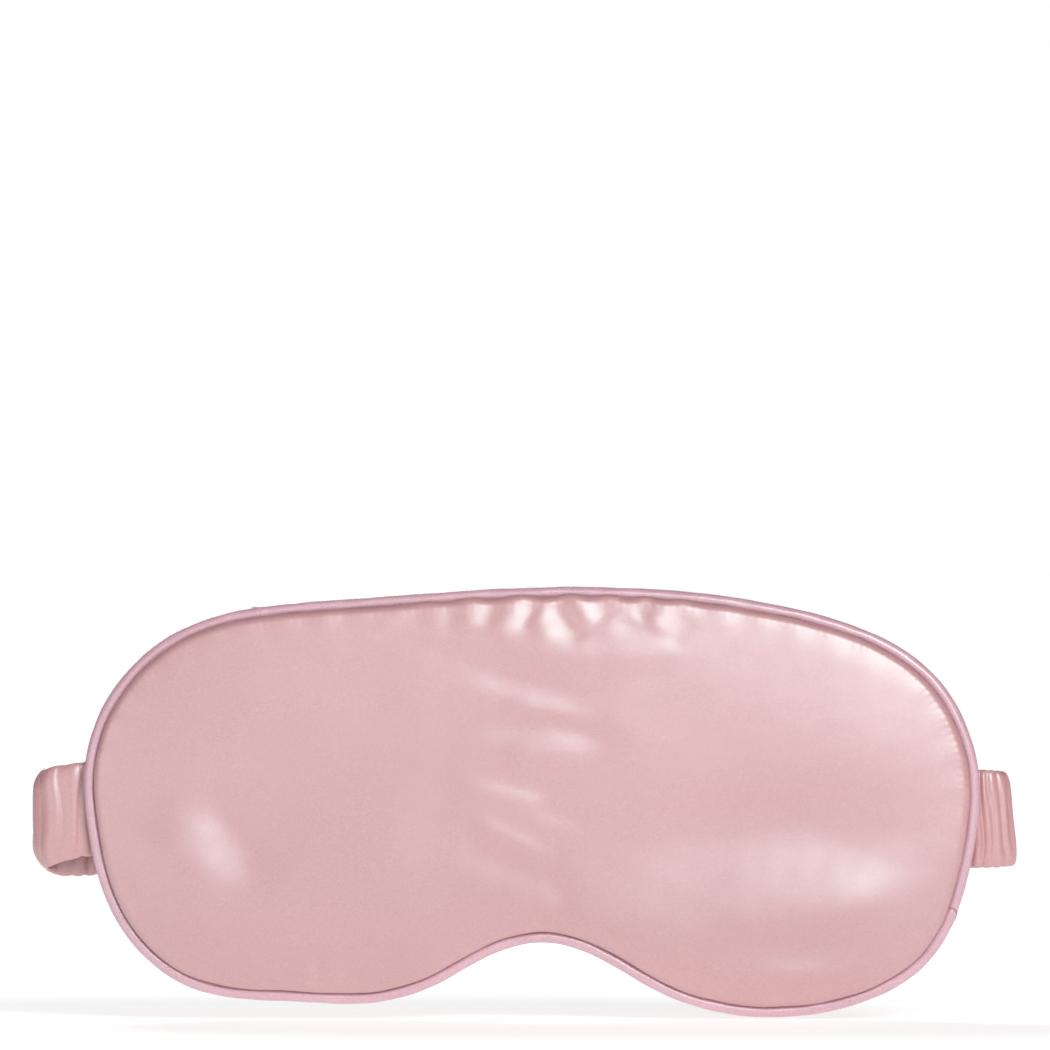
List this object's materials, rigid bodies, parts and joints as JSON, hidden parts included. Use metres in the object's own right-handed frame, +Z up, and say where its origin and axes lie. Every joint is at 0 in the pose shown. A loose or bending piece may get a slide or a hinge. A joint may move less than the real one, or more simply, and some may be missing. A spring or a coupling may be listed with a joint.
{
  "type": "sleep eye mask",
  "caption": "Padded satin sleep mask with a nose notch, corded piping round its edge and a gathered elastic head strap.",
  "frame": {"origin": "centre of the skin-side face of the padded panel, where the mask rests on the face", "axes": "+X to the right seen from the front, +Z up towards the brow, +Y towards the head; the satin front faces -Y"},
  "size_m": [0.232, 0.0201, 0.1008],
  "materials": {
    "satin_front": "pink polyester satin",
    "satin_back": "pink polyester satin",
    "piping_satin": "pink satin bias strip",
    "strap_satin": "pink gathered satin",
    "thread": "polyester sewing thread",
    "lining": "black opaque lining cloth",
    "wadding": "polyester wadding",
    "cord_core": "twisted cotton cord",
    "elastic": "knitted elastic tape"
  },
  "bodies": {
    "left_half": {"front_panel_left": "satin_front", "blackout_lining_left": "lining", "padding_left": "wadding", "back_panel_left": "satin_back", "piping_cord_left": "cord_core", "seam_thread_left": "thread", "piping_upper_left": "piping_satin", "piping_lower_left": "piping_satin", "strap_sleeve_turn_left": "strap_satin", "strap_elastic_turn_left": "elastic", "strap_tack_left": "thread"},
    "right_half": {"front_panel_right": "satin_front", "blackout_lining_right": "lining", "padding_right": "wadding", "back_panel_right": "satin_back", "piping_cord_right": "cord_core", "seam_thread_right": "thread", "piping_upper_right": "piping_satin", "piping_lower_right": "piping_satin", "strap_sleeve_turn_right": "strap_satin", "strap_elastic_turn_right": "elastic", "strap_tack_right": "thread"},
    "strap_left": {"strap_sleeve_span_left": "strap_satin", "strap_elastic_span_left": "elastic"},
    "strap_right": {"strap_sleeve_span_right": "strap_satin", "strap_elastic_span_right": "elastic"}
  },
  "joints": [
    {"name": "bridge_fold", "type": "hinge", "parent": "left_half", "child": "right_half", "pos_m": [0, 0.01012, 0], "axis": [0, 0, -1], "range_deg": [-160, 0], "stiffness_Nm_per_rad": 0.004},
    {"name": "strap_pull_left", "type": "slide", "parent": "left_half", "child": "strap_left", "axis": [0, 1, 0], "range_m": [0, 0.14], "stiffness_N_per_m": 20, "deforming": ["strap_sleeve_span_left", "strap_elastic_span_left"]},
    {"name": "strap_pull_right", "type": "slide", "parent": "right_half", "child": "strap_right", "axis": [0, 1, 0], "range_m": [0, 0.14], "stiffness_N_per_m": 20, "deforming": ["strap_sleeve_span_right", "strap_elastic_span_right"]}
  ],
  "couplings": [
    {"joint": "strap_pull_right", "follows": "strap_pull_left", "ratio": 1}
  ]
}
